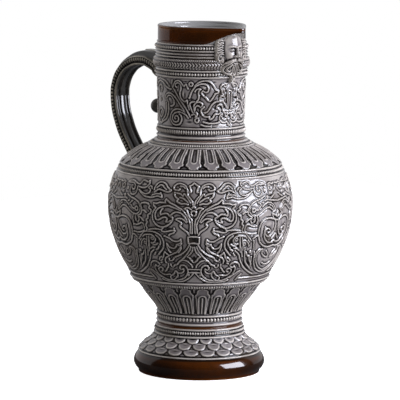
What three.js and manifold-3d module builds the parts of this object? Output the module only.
import * as THREE from 'three'
import { mergeVertices } from 'three/addons/utils/BufferGeometryUtils.js'
import Module from 'manifold-3d'

// A relief-moulded majolica wine jug of fired clay, on a spreading foot.
// Millimetres, +Z up. The origin is the middle of the face it stands on. The pouring lip and
// the bearded mask point along +X, the handle along -X, and both sides of the XZ plane match.
// The castings stack on flat luted joints. What is stuck on from outside, the mask, the handle
// and its ball, keeps a thin bed of slip to what carries it.

// Heights of the castings that stack up from the table
const BASE_HEIGHT = 19.2
const FOOT_HEIGHT = 27.9
const BOWL_HEIGHT = 43.4
const BELLY_HEIGHT = 101
const SHOULDER_HEIGHT = 32.1
const NECK_HEIGHT = 90.2
const RIM_HEIGHT = 16.2

// Walls
const WALL = 5.5
const FLOOR = 6
const RIM_WALL = 3.6
const SLIP_BED = 0.3

// The base roll and the scaled foot
const STANDING_RADIUS = 57.5
const BASE_ROLL_RADIUS = 62.1
const FOOT_RADIUS = 58
const FLARE_HEIGHT = 18.3
const STEM_RADIUS = 42.6
const WAIST_RADIUS = 40
const WAIST_TURN = 2

// The bowl: a beaded knop under a petalled cone
const KNOP_RADIUS = 41
const KNOP_HEIGHT = 13.2
const KNOP_HOLLOW = 1
const KNOP_BEAD = 1.7
const KNOP_BEAD_UP = 4.2
const KNOP_BEAD_WIDTH = 5
const CONE_TOP_RADIUS = 60.6
const LOWER_JOINT_RADIUS = 63.6
const BOWL_LIP_HEIGHT = 3
const CONE_START = 2

// The belly drum
const BELLY_FOOT_RADIUS = 66.2
const BELLY_RADIUS = 87.3
const BELLY_WIDEST = 69
const BELLY_TOP_RADIUS = 79.4
const BELLY_EDGE = 1.8
const BELLY_THIRDS = 3
const SHEAF_BEARING = -44
const SCROLL_STAND = 1.1
const SCROLL_WIDTH = 4.4

// The shoulder: a beaded edge under a low dome of tongues
const EDGE_BAND_RADIUS = 76.4
const EDGE_BAND_HEIGHT = 9.3
const EDGE_BEAD = 1.4
const EDGE_BEAD_UP = 2.4
const EDGE_BEAD_WIDTH = 3.4
const DOME_TOP_RADIUS = 42.4
const TONGUES = 27
const TONGUE_BEARING = -32
const TONGUE_WIDTH = 13.4
const TONGUE_TIP_UP = 9.4
const TONGUE_TOP_UP = 25.6
const TONGUE_STAND = 0.8
const TONGUE_EDGE = 0.6

// The neck, from the junction groove up to the rim collar
const NECK_FOOT_HEIGHT = 13.7
const NECK_RADIUS = 40.6
const NECK_TOP_RADIUS = 41.6
const NECK_BEAD = 1.3
const NECK_BEAD_UP = 5.2
const NECK_BEAD_WIDTH = 4.8
const NECK_GROOVE = 3
const LOWER_BAND_HEIGHT = 8.6
const BAND_RADIUS = 43.6
const BAND_TURN = 1.6
const BRAID_FOOT_RADIUS = 42.8
const BRAID_RADIUS = 45.2
const BRAID_HEIGHT = 11
const UPPER_BAND_HEIGHT = 12

// The rim collar and its pouring lip
const COLLAR_RADIUS = 41.4
const LIP_REACH = 60
const LIP_TIP_RADIUS = 4.5
const LIP_THICKNESS = 6.2
const RIM_ROUNDING = 1.3

// The bearded mask under the lip
const MASK_HEIGHT = 45
const MASK_WIDTH = 37
const MASK_REACH = 56.5
const MASK_EDGE = 3.2

// The handle: a strap, thicker where it leaves the neck, its inner end curled to a ball
const STRAP_WIDTH = 18
const STRAP_THICKNESS = 9.3
const ROOT_THICKNESS = 15
const ROOT_FLARE = 11
const HANDLE_REACH = 128
const HANDLE_TOP = 300.6
const HANDLE_WIDEST = 254
const HANDLE_FOOT_HEIGHT = 180
const ROOT_SINK = 9
const CURL_THICKNESS = 7.5
const CURL_WIDTH = 9
const BALL_DIAMETER = 14.4
const BALL_OUT = 65
const BALL_BELOW_TOP = 53.1

// How finely round things are cut
const SIDES = 48
const CURVE_STEPS = 6
const SECTION_SIDES = 16

// Heights of the joints, each casting standing on the one below
const FOOT_BOTTOM = BASE_HEIGHT
const BOWL_BOTTOM = FOOT_BOTTOM + FOOT_HEIGHT
const BELLY_BOTTOM = BOWL_BOTTOM + BOWL_HEIGHT
const SHOULDER_BOTTOM = BELLY_BOTTOM + BELLY_HEIGHT
const NECK_BOTTOM = SHOULDER_BOTTOM + SHOULDER_HEIGHT
const RIM_BOTTOM = NECK_BOTTOM + NECK_HEIGHT
const RIM_TOP = RIM_BOTTOM + RIM_HEIGHT

// Finishes
const greyGlaze = new THREE.MeshStandardMaterial({ color: 0x77746a, roughness: 0.25, metalness: 0 })
const darkGlaze = new THREE.MeshStandardMaterial({ color: 0x3a3833, roughness: 0.22, metalness: 0 })
const brownGlaze = new THREE.MeshStandardMaterial({ color: 0x4a2a10, roughness: 0.18, metalness: 0 })

const wasm = await Module()
wasm.setup()

const root = new THREE.Group()

// A geometry with its shared corners merged and its empty triangles dropped
function welded(geometry) {
  const bare = geometry.index ? geometry.clone() : mergeVertices(geometry.clone())
  for (const name of Object.keys(bare.attributes)) if (name !== 'position') bare.deleteAttribute(name)
  const merged = mergeVertices(bare, 1e-4)
  const index = merged.index.array
  const kept = []
  for (let i = 0; i < index.length; i += 3) {
    const [a, b, c] = [index[i], index[i + 1], index[i + 2]]
    if (a !== b && b !== c && c !== a) kept.push(a, b, c)
  }
  merged.setIndex(kept)
  return merged
}

function solidOf(geometry) {
  const closed = welded(geometry)
  return new wasm.Manifold(new wasm.Mesh({
    numProp: 3,
    vertProperties: new Float32Array(closed.attributes.position.array),
    triVerts: new Uint32Array(closed.index.array)
  }))
}

function geometryOf(solid) {
  const mesh = solid.getMesh()
  const geometry = new THREE.BufferGeometry()
  geometry.setAttribute('position', new THREE.BufferAttribute(new Float32Array(mesh.vertProperties), 3))
  geometry.setIndex([...mesh.triVerts])
  return geometry
}

function piece(name, geometry, material) {
  const closed = welded(geometry)
  closed.computeVertexNormals()
  const mesh = new THREE.Mesh(closed, material)
  mesh.name = name
  root.add(mesh)
}

// A closed [radius, height] profile turned about the jug's axis
function turned(profile) {
  const points = profile.map(([radius, z]) => new THREE.Vector2(radius, z))
  return new THREE.LatheGeometry([...points, points[0]], SIDES).rotateX(Math.PI / 2)
}

// A closed skin over rows of points, each row a closed loop, shut by a fan at both ends
function lofted(rows) {
  const count = rows[0].length
  const middle = row => row.reduce((sum, point) => sum.add(point), new THREE.Vector3()).divideScalar(count)
  const points = [...rows.flat(), middle(rows[0]), middle(rows.at(-1))]
  const index = []
  for (let r = 0; r + 1 < rows.length; r++) {
    for (let k = 0; k < count; k++) {
      const a = r * count + k
      const b = r * count + (k + 1) % count
      index.push(a, b, b + count, a, b + count, a + count)
    }
  }
  const last = (rows.length - 1) * count
  for (let k = 0; k < count; k++) {
    const next = (k + 1) % count
    index.push(rows.length * count, next, k)
    index.push(rows.length * count + 1, last + k, last + next)
  }
  const geometry = new THREE.BufferGeometry().setFromPoints(points)
  geometry.setIndex(index)
  return geometry
}

// Outlines: [radius, height] pairs going up
const plain = (curve, steps = CURVE_STEPS) => curve.getPoints(steps).map(p => [p.x, p.y])
const flat = ([radius, z]) => new THREE.Vector2(radius, z)
const bow = (from, pull, to) => plain(new THREE.QuadraticBezierCurve(flat(from), flat(pull), flat(to)))
const ogee = (from, pullA, pullB, to) =>
  plain(new THREE.CubicBezierCurve(flat(from), flat(pullA), flat(pullB), flat(to)))

// A half-round swelling between two heights, rising by `swell` over the radius
function halfRound(radius, swell, low, high, steps = 3) {
  return Array.from({ length: steps + 1 }, (_, i) => {
    const turn = Math.PI * i / steps
    return [radius + swell * Math.sin(turn), low + (high - low) * (1 - Math.cos(turn)) / 2]
  })
}

// The base roll bulges evenly between the table and the foot
function baseOutline() {
  return Array.from({ length: CURVE_STEPS + 1 }, (_, i) => {
    const t = i / CURVE_STEPS
    const edge = STANDING_RADIUS + (FOOT_RADIUS - STANDING_RADIUS) * t
    return [edge + (BASE_ROLL_RADIUS - edge) * Math.sin(Math.PI * t) ** 0.6, BASE_HEIGHT * t]
  })
}

function footOutline() {
  const bandBottom = FOOT_BOTTOM + FLARE_HEIGHT
  const middle = FOOT_BOTTOM + FLARE_HEIGHT * 0.52
  const shoulder = STEM_RADIUS + (FOOT_RADIUS - STEM_RADIUS) * 0.24
  return [
    ...ogee([FOOT_RADIUS, FOOT_BOTTOM], [FOOT_RADIUS, middle], [shoulder, middle], [STEM_RADIUS, bandBottom]),
    [STEM_RADIUS, BOWL_BOTTOM - WAIST_TURN],
    [WAIST_RADIUS, BOWL_BOTTOM]
  ]
}

function bowlOutline() {
  const knopTop = BOWL_BOTTOM + KNOP_HEIGHT
  const beadLow = BOWL_BOTTOM + KNOP_BEAD_UP
  const beadHigh = beadLow + KNOP_BEAD_WIDTH
  const lipBottom = BELLY_BOTTOM - BOWL_LIP_HEIGHT
  const coneBottom = knopTop + CONE_START
  const coneBow = (CONE_TOP_RADIUS - KNOP_RADIUS) * 0.13
  return [
    [WAIST_RADIUS, BOWL_BOTTOM],
    [KNOP_RADIUS, BOWL_BOTTOM + WAIST_TURN],
    ...halfRound(KNOP_RADIUS - KNOP_HOLLOW, KNOP_BEAD, beadLow, beadHigh),
    [KNOP_RADIUS, beadHigh + (knopTop - beadHigh) * 0.3],
    [KNOP_RADIUS, knopTop],
    ...bow(
      [KNOP_RADIUS, coneBottom],
      [KNOP_RADIUS + coneBow, coneBottom + (lipBottom - coneBottom) * 0.12],
      [CONE_TOP_RADIUS, lipBottom]
    ),
    [LOWER_JOINT_RADIUS, BELLY_BOTTOM - BOWL_LIP_HEIGHT / 3],
    [LOWER_JOINT_RADIUS, BELLY_BOTTOM]
  ]
}

// Over the relief, or with a sink over the ground that the relief stands on
function bellyOutline(sink) {
  const bottom = [BELLY_FOOT_RADIUS, BELLY_BOTTOM + BELLY_EDGE]
  const widest = [BELLY_RADIUS - sink, BELLY_BOTTOM + BELLY_WIDEST]
  const top = [BELLY_TOP_RADIUS, SHOULDER_BOTTOM]
  const lowPull = [BELLY_RADIUS - sink, (bottom[1] + widest[1]) / 2 + 3]
  const highPull = [BELLY_RADIUS - sink, (widest[1] + top[1]) / 2 + 2]
  return [
    [LOWER_JOINT_RADIUS, BELLY_BOTTOM],
    ...bow(bottom, lowPull, widest),
    ...bow(widest, highPull, top).slice(1)
  ]
}

function shoulderOutline(sink) {
  const domeBottom = SHOULDER_BOTTOM + EDGE_BAND_HEIGHT
  const beadLow = SHOULDER_BOTTOM + EDGE_BEAD_UP
  const beadHigh = beadLow + EDGE_BEAD_WIDTH
  const rise = SHOULDER_HEIGHT - EDGE_BAND_HEIGHT
  const fall = EDGE_BAND_RADIUS - DOME_TOP_RADIUS
  return [
    [BELLY_TOP_RADIUS, SHOULDER_BOTTOM],
    [EDGE_BAND_RADIUS, beadLow - (beadLow - SHOULDER_BOTTOM) * 0.2],
    ...halfRound(EDGE_BAND_RADIUS, EDGE_BEAD, beadLow, beadHigh),
    ...ogee(
      [EDGE_BAND_RADIUS, domeBottom],
      [EDGE_BAND_RADIUS - fall * 0.08 - sink, domeBottom + rise * 0.32 - sink],
      [EDGE_BAND_RADIUS - fall * 0.53 - sink, domeBottom + rise * 0.56 - sink],
      [DOME_TOP_RADIUS, NECK_BOTTOM]
    )
  ]
}

function neckOutline() {
  const friezeBottom = NECK_BOTTOM + NECK_FOOT_HEIGHT
  const upperBottom = RIM_BOTTOM - UPPER_BAND_HEIGHT
  const braidBottom = upperBottom - BRAID_HEIGHT
  const friezeTop = braidBottom - LOWER_BAND_HEIGHT
  const beadLow = NECK_BOTTOM + NECK_BEAD_UP
  return [
    [DOME_TOP_RADIUS, NECK_BOTTOM],
    [DOME_TOP_RADIUS, NECK_BOTTOM + NECK_GROOVE],
    ...halfRound(NECK_RADIUS, NECK_BEAD, beadLow, beadLow + NECK_BEAD_WIDTH),
    [NECK_RADIUS, friezeBottom],
    [NECK_TOP_RADIUS, friezeTop],
    [BAND_RADIUS, friezeTop + BAND_TURN],
    [BAND_RADIUS, braidBottom - BAND_TURN],
    ...halfRound(BRAID_FOOT_RADIUS, BRAID_RADIUS - BRAID_FOOT_RADIUS, braidBottom, upperBottom),
    [BAND_RADIUS, upperBottom + BAND_TURN],
    [BAND_RADIUS, RIM_BOTTOM - BAND_TURN],
    [COLLAR_RADIUS, RIM_BOTTOM]
  ]
}

const outlines = {
  base: baseOutline(),
  foot: footOutline(),
  bowl: bowlOutline(),
  belly: bellyOutline(SCROLL_STAND),
  shoulder: shoulderOutline(TONGUE_STAND),
  neck: neckOutline()
}
const crests = { ...outlines, belly: bellyOutline(0), shoulder: shoulderOutline(0) }
const whole = parts => [...Object.values(parts).flat(), [COLLAR_RADIUS, RIM_TOP]]
const wholeOutline = whole(outlines)
const wholeCrest = whole(crests)

// Radius of the outside at a height, read along an outline of the whole jug
function outsideAt(z, outline = wholeOutline) {
  const i = Math.max(1, outline.findIndex(([, height]) => height > z))
  const [[r0, z0], [r1, z1]] = [outline[i - 1], outline[i]]
  return z1 === z0 ? Math.min(r0, r1) : r0 + (r1 - r0) * (z - z0) / (z1 - z0)
}

// Radius of the hollow at a height: everywhere at least one wall away from the outside
function insideAt(z) {
  let radius = Infinity
  for (let d = -WALL; d <= WALL; d += 0.25) {
    const level = THREE.MathUtils.clamp(z + d, 0, RIM_TOP - 0.01)
    radius = Math.min(radius, outsideAt(level, wholeCrest) - Math.sqrt(Math.max(0, WALL ** 2 - d ** 2)))
  }
  return radius
}

// A casting between two joints: its outside going up, then the hollow going down
function casting(outline, steps) {
  const low = outline[0][1]
  const high = outline.at(-1)[1]
  const hollow = Array.from({ length: steps + 1 }, (_, i) => {
    const z = high + (low - high) * i / steps
    return [insideAt(z), z]
  })
  return turned([...outline, ...hollow])
}

// A point over the jug's skin: at a bearing and a height, and a distance out along the skin's normal
function overSkin(bearing, z, out) {
  const slope = (outsideAt(z + 0.5) - outsideAt(z - 0.5))
  const steep = Math.hypot(1, slope)
  const radius = outsideAt(z) + out / steep
  return new THREE.Vector3(radius * Math.cos(bearing), radius * Math.sin(bearing), z - out * slope / steep)
}

// Main scrolls of the belly, drawn on half of a third. The first number goes round from the bound
// sheaf in the middle, 0, to the end of the half, 1, the second up from the belly's foot, 0, to its
// top, 1. A round scroll has its middle, its radius as a share of the belly's height, the bearing
// it starts at and how far it turns, in degrees.
const stems = [
  [[0.414, 0.301], [0.33, 0.41], [0.385, 0.505], [0.53, 0.519], [0.642, 0.436]],
  [[0.031, 0.592], [0.15, 0.76], [0.398, 0.781]],
  [[0.009, 0.782], [0.075, 0.88], [0.12, 0.965], [0.217, 0.939]],
  [[0.799, 0.84], [0.63, 0.785], [0.607, 0.691], [0.74, 0.677], [0.91, 0.704]],
  [[0.085, 0.13], [0.27, 0.05], [0.512, 0.117]],
  [[0.463, 0.347], [0.6, 0.2], [0.821, 0.099]]
]
const volutes = [
  { middle: [0.87, 0.515], radius: 0.124, start: 20, turn: 320, sides: 7 },
  { middle: [0.334, 0.666], radius: 0.095, start: 40, turn: -250, sides: 5 }
]

// A low rib along a line on the belly, broad in the ground and narrowing to its crest
function rib(line, middle, hand) {
  const third = 2 * Math.PI / BELLY_THIRDS
  const placed = line.map(([round, up]) => [
    middle + hand * round * third / 2, BELLY_BOTTOM + up * BELLY_HEIGHT])
  const rows = placed.map(([bearing, z], i) => {
    const [before, after] = [placed[Math.max(0, i - 1)], placed[Math.min(placed.length - 1, i + 1)]]
    const radius = outsideAt(z)
    const go = new THREE.Vector2((after[0] - before[0]) * radius, after[1] - before[1]).normalize()
    const at = (across, out) => overSkin(bearing - go.y * across / radius, z + go.x * across, out)
    return [at(SCROLL_WIDTH / 2, -SCROLL_STAND), at(0, SCROLL_STAND), at(-SCROLL_WIDTH / 2, -SCROLL_STAND)]
  })
  return solidOf(lofted(rows))
}

// The handle's foot covers the ornament there, so no rib runs under it
function coveredByHandle(line, middle, hand) {
  const half = Math.PI / BELLY_THIRDS
  return line.some(([round, up]) => {
    const bearing = middle + hand * round * half
    const away = Math.PI - Math.abs(Math.atan2(Math.sin(bearing), Math.cos(bearing)))
    const z = BELLY_BOTTOM + up * BELLY_HEIGHT
    return away * BELLY_RADIUS < STRAP_WIDTH * 0.8 && z > HANDLE_FOOT_HEIGHT - 2 * STRAP_THICKNESS
  })
}

function bellyScrolls() {
  const halfLength = Math.PI / BELLY_THIRDS * BELLY_RADIUS
  const rings = volutes.map(({ middle, radius, start, turn, sides }) =>
    Array.from({ length: sides + 1 }, (_, i) => {
      const angle = THREE.MathUtils.degToRad(start + turn * i / sides)
      const reach = radius * BELLY_HEIGHT
      return [middle[0] + reach * Math.cos(angle) / halfLength, middle[1] + radius * Math.sin(angle)]
    }))
  const lines = [...stems, ...rings]
  const ribs = []
  for (let k = 0; k < BELLY_THIRDS; k++) {
    const middle = THREE.MathUtils.degToRad(SHEAF_BEARING + 360 * k / BELLY_THIRDS)
    for (const hand of [1, -1]) {
      for (const line of lines) {
        if (!coveredByHandle(line, middle, hand)) ribs.push(rib(line, middle, hand))
      }
    }
  }
  return ribs
}

// A tongue hangs down the shoulder, narrow under the neck and wide above its rounded tip. Shares of
// its length from the tip, and of its width there.
const tongueShape = [[0, 0.42], [0.33, 1.05], [1, 0.78]]
function tongue(bearing) {
  const length = TONGUE_TOP_UP - TONGUE_TIP_UP
  const rows = tongueShape.map(([share, wide]) => {
    const z = SHOULDER_BOTTOM + TONGUE_TIP_UP + share * length
    const half = TONGUE_WIDTH / 2 * wide
    const crest = half - Math.min(TONGUE_EDGE, half * 0.3)
    const at = (across, out) => overSkin(bearing + across / outsideAt(z), z, out)
    return [at(-half, -TONGUE_STAND), at(-crest, TONGUE_STAND), at(crest, TONGUE_STAND), at(half, -TONGUE_STAND)]
  })
  return solidOf(lofted(rows))
}

function tongues() {
  return Array.from({ length: TONGUES }, (_, k) =>
    tongue(THREE.MathUtils.degToRad(TONGUE_BEARING + 360 * k / TONGUES)))
}

const joinedSolids = solids => wasm.Manifold.union(solids)

// The base is a shallow dish: the brown roll with the closed floor inside it
piece('base_roll', turned([
  [0, 0],
  ...outlines.base,
  [insideAt(FOOT_BOTTOM), FOOT_BOTTOM],
  [insideAt(FOOT_BOTTOM) - 1.5, FLOOR + 2],
  [insideAt(FOOT_BOTTOM) - 4, FLOOR],
  [0, FLOOR]
]), brownGlaze)
piece('foot', casting(outlines.foot, 5), greyGlaze)
piece('bowl', casting(outlines.bowl, 4), greyGlaze)
const belly = [solidOf(casting(outlines.belly, 7)), ...bellyScrolls()]
piece('belly', geometryOf(joinedSolids(belly)), greyGlaze)
const shoulder = [solidOf(casting(outlines.shoulder, 4)), ...tongues()]
piece('shoulder', geometryOf(joinedSolids(shoulder)), greyGlaze)
piece('neck', casting(outlines.neck, 2), greyGlaze)

// Plan of the rim: a circle drawn out to a small round tip by two straight tangents
const tipMiddle = LIP_REACH - LIP_TIP_RADIUS
const lipSpread = Math.acos((COLLAR_RADIUS - LIP_TIP_RADIUS) / tipMiddle)
function rimRadiusAt(angle) {
  const away = Math.abs(Math.atan2(Math.sin(angle), Math.cos(angle)))
  if (away >= lipSpread) return COLLAR_RADIUS
  const tipEdge = Math.atan2(
    LIP_TIP_RADIUS * Math.sin(lipSpread), tipMiddle + LIP_TIP_RADIUS * Math.cos(lipSpread))
  if (away >= tipEdge) return COLLAR_RADIUS / Math.cos(lipSpread - away)
  const inside = LIP_TIP_RADIUS ** 2 - (tipMiddle * Math.sin(away)) ** 2
  return tipMiddle * Math.cos(away) + Math.sqrt(Math.max(0, inside))
}

// How high the lip's underside stands over the collar's foot
function lipUnderside(angle) {
  const away = Math.abs(Math.atan2(Math.sin(angle), Math.cos(angle)))
  if (away >= lipSpread) return 0
  return (RIM_HEIGHT - LIP_THICKNESS) * (1 + Math.cos(Math.PI * away / lipSpread)) / 2
}

// The collar's outside at a bearing, going up, grown by a margin; its inside, going down
function collarOutside(angle, margin) {
  const lip = rimRadiusAt(angle)
  const drawn = lip - COLLAR_RADIUS
  const under = lipUnderside(angle)
  return [
    [COLLAR_RADIUS + margin, -margin],
    [COLLAR_RADIUS + drawn * 0.55 + margin, under * 0.78 + 0.9 - margin],
    [lip + margin, under + 2.2 - margin],
    [lip + margin, RIM_HEIGHT - RIM_ROUNDING],
    [lip - RIM_ROUNDING + margin, RIM_HEIGHT + margin]
  ]
}
function collarInside(angle) {
  const lip = rimRadiusAt(angle)
  const drawn = lip - COLLAR_RADIUS
  const bore = insideAt(RIM_BOTTOM)
  return [
    [lip - RIM_WALL + RIM_ROUNDING, RIM_HEIGHT],
    [lip - RIM_WALL, RIM_HEIGHT - RIM_ROUNDING],
    [bore + drawn * 0.75, RIM_HEIGHT * 0.55 + lipUnderside(angle) * 0.36],
    [bore, 0]
  ]
}

// Bearings round the rim, closer together across the lip
function rimBearings() {
  return Array.from({ length: SIDES }, (_, k) => {
    const even = 2 * Math.PI * k / SIDES
    return even - 0.62 * Math.sin(even)
  })
}

// A closed skin over radial sections [radius, height above the collar's foot]
function roundSkin(sectionAt) {
  const sections = rimBearings().map(angle => sectionAt(angle).map(([radius, z]) =>
    new THREE.Vector3(radius * Math.cos(angle), radius * Math.sin(angle), RIM_BOTTOM + z)))
  const size = sections[0].length
  const index = []
  for (let s = 0; s < sections.length; s++) {
    const next = (s + 1) % sections.length
    for (let k = 0; k < size; k++) {
      const up = (k + 1) % size
      const [a, b, c, d] = [s * size + k, next * size + k, next * size + up, s * size + up]
      index.push(a, b, c, a, c, d)
    }
  }
  const geometry = new THREE.BufferGeometry().setFromPoints(sections.flat())
  geometry.setIndex(index)
  return geometry
}
piece('rim_collar', roundSkin(angle => [...collarOutside(angle, 0), ...collarInside(angle)]), brownGlaze)

// What a piece stuck on from outside has to stay clear of: the jug grown by the slip bed
const keepOut = solidOf(turned([
  [0, FLOOR],
  ...wholeOutline.filter(([, z]) => z > BASE_HEIGHT).map(([radius, z]) => [radius + SLIP_BED, z]),
  [0, RIM_TOP]
])).add(solidOf(roundSkin(angle =>
  [...collarOutside(angle, SLIP_BED), [0, RIM_HEIGHT + SLIP_BED], [0, -SLIP_BED]])))

// The mask fills the place under the lip: a long oval head with hair at both sides, a nose,
// and a beard that narrows to a point. Heights and widths are shares of its own size.
const maskTop = RIM_BOTTOM + RIM_HEIGHT - LIP_THICKNESS
const maskShares = [[0.08, 0], [0.4, 0.14], [0.66, 0.28], [0.92, 0.48], [1, 0.68], [0.84, 0.9], [0.66, 1]]
const maskWidths = new THREE.SplineCurve(maskShares.map(flat))
const bump = (x, middle, width) => Math.exp(-(((x - middle) / width) ** 2))
function maskReach(across, up) {
  const head = (1 - across ** 2 * 0.75) * (0.62 + 0.3 * bump(up, 0.68, 0.35))
  const nose = 0.24 * bump(across, 0, 0.16) * bump(up, 0.62, 0.13)
  const brow = 0.08 * bump(across, 0, 0.5) * bump(up, 0.78, 0.08)
  const beard = 0.16 * bump(across, 0, 0.5) * bump(up, 0.3, 0.2)
  const curls = 0.1 * bump(Math.abs(across), 0.55, 0.25) * bump(up, 0.26, 0.1)
  const hair = 0.22 * bump(Math.abs(across), 0.85, 0.2) * bump(up, 0.66, 0.3)
  return Math.min(1, head + nose + brow + beard + curls + hair) * Math.min(1, 0.45 + up * 2.2)
}
function maskSolid() {
  const rowsUp = 19
  const columns = 16
  const rows = Array.from({ length: rowsUp + 1 }, (_, i) => {
    const up = i / rowsUp
    const half = MASK_WIDTH / 2 * maskWidths.getPoint(up).x
    const z = maskTop - MASK_HEIGHT * (1 - up)
    const back = NECK_RADIUS - WALL / 2
    const front = Array.from({ length: columns + 1 }, (_, k) => {
      const across = 2 * k / columns - 1
      const rise = (MASK_REACH - BAND_RADIUS - MASK_EDGE) * maskReach(across, up)
      const bearing = across * half / BAND_RADIUS
      const radius = BAND_RADIUS + MASK_EDGE * Math.sqrt(1 - across ** 2 * 0.9) + rise
      return new THREE.Vector3(radius * Math.cos(bearing), radius * Math.sin(bearing), z)
    })
    const edge = half / BAND_RADIUS
    return [
      new THREE.Vector3(back * Math.cos(edge), -back * Math.sin(edge), z),
      ...front,
      new THREE.Vector3(back * Math.cos(edge), back * Math.sin(edge), z)
    ]
  })
  return solidOf(lofted(rows))
}
piece('mask', geometryOf(maskSolid().subtract(keepOut)), greyGlaze)

// A strap swept along a path in the handle's plane; distance out from the axis runs along -X
const outward = ([out, z]) => new THREE.Vector3(-out, 0, z)
function strap(path, widthAt, thicknessAt, steps) {
  const curve = new THREE.CatmullRomCurve3(path.map(outward), false, 'centripetal')
  const rows = Array.from({ length: steps + 1 }, (_, i) => {
    const t = i / steps
    const middle = curve.getPointAt(t)
    const along = curve.getTangentAt(t)
    const across = new THREE.Vector3(0, 1, 0)
    const through = new THREE.Vector3().crossVectors(along, across)
    return Array.from({ length: SECTION_SIDES }, (_, k) => {
      const turn = 2 * Math.PI * (k + 0.5) / SECTION_SIDES
      const side = Math.sign(Math.cos(turn)) * Math.abs(Math.cos(turn)) ** 0.6 * widthAt(t) / 2
      const depth = Math.sign(Math.sin(turn)) * Math.abs(Math.sin(turn)) ** 0.6 * thicknessAt(t) / 2
      return middle.clone().addScaledVector(across, side).addScaledVector(through, depth)
    })
  })
  return solidOf(lofted(rows))
}

// Centre line of the strap: out of the neck, over the top, down the back and onto the belly
const rootMiddle = HANDLE_TOP - ROOT_THICKNESS / 2
const strapOut = HANDLE_REACH - STRAP_THICKNESS / 2
const landingOut = outsideAt(HANDLE_FOOT_HEIGHT)
const rise = HANDLE_TOP - HANDLE_WIDEST
const fall = HANDLE_WIDEST - HANDLE_FOOT_HEIGHT
const handlePath = [
  [BAND_RADIUS - ROOT_SINK / 2, rootMiddle - ROOT_FLARE / 2],
  [strapOut * 0.5, rootMiddle + STRAP_THICKNESS * 0.12],
  [strapOut * 0.73, rootMiddle],
  [strapOut * 0.9, HANDLE_WIDEST + rise * 0.624],
  [strapOut * 0.975, HANDLE_WIDEST + rise * 0.378],
  [strapOut, HANDLE_WIDEST],
  [strapOut * 0.962, HANDLE_WIDEST - fall * 0.297],
  [strapOut * 0.88, HANDLE_WIDEST - fall * 0.527],
  [landingOut + STRAP_THICKNESS, HANDLE_WIDEST - fall * 0.797],
  [landingOut - ROOT_SINK / 2, HANDLE_FOOT_HEIGHT]
]
const thicker = t => STRAP_THICKNESS + (ROOT_THICKNESS - STRAP_THICKNESS) * Math.max(0, 1 - t / 0.26) +
  ROOT_FLARE * Math.max(0, 1 - t / 0.1) ** 1.5
const handleStrap = strap(handlePath, () => STRAP_WIDTH, thicker, 27)

// The inner end of the strap runs down the neck and curls out to carry the ball
const ballMiddle = [BALL_OUT, HANDLE_TOP - BALL_BELOW_TOP]
const curlMiddle = NECK_TOP_RADIUS + SLIP_BED + CURL_THICKNESS / 2
const curlPath = [
  [curlMiddle + CURL_THICKNESS * 0.4, HANDLE_TOP - ROOT_THICKNESS + SLIP_BED],
  [curlMiddle + CURL_THICKNESS * 0.13, ballMiddle[1] + BALL_DIAMETER * 0.8],
  [curlMiddle + CURL_THICKNESS * 0.1, ballMiddle[1] + BALL_DIAMETER * 0.07],
  [curlMiddle + CURL_THICKNESS * 0.8, ballMiddle[1] - BALL_DIAMETER * 0.24],
  [BALL_OUT - BALL_DIAMETER * 0.14, ballMiddle[1] - BALL_DIAMETER * 0.14]
]
const ballAt = diameter => {
  const sphere = new THREE.SphereGeometry(diameter / 2, 16, 10).rotateX(Math.PI / 2)
  return sphere.translate(-ballMiddle[0], 0, ballMiddle[1])
}
const curl = strap(curlPath, () => CURL_WIDTH, t => CURL_THICKNESS * (1 - 0.35 * t), 10)
const ballSeat = solidOf(ballAt(BALL_DIAMETER + 2 * SLIP_BED))
piece('handle', geometryOf(handleStrap.add(curl).subtract(keepOut).subtract(ballSeat)), darkGlaze)
piece('handle_ball', ballAt(BALL_DIAMETER), darkGlaze)

export default root
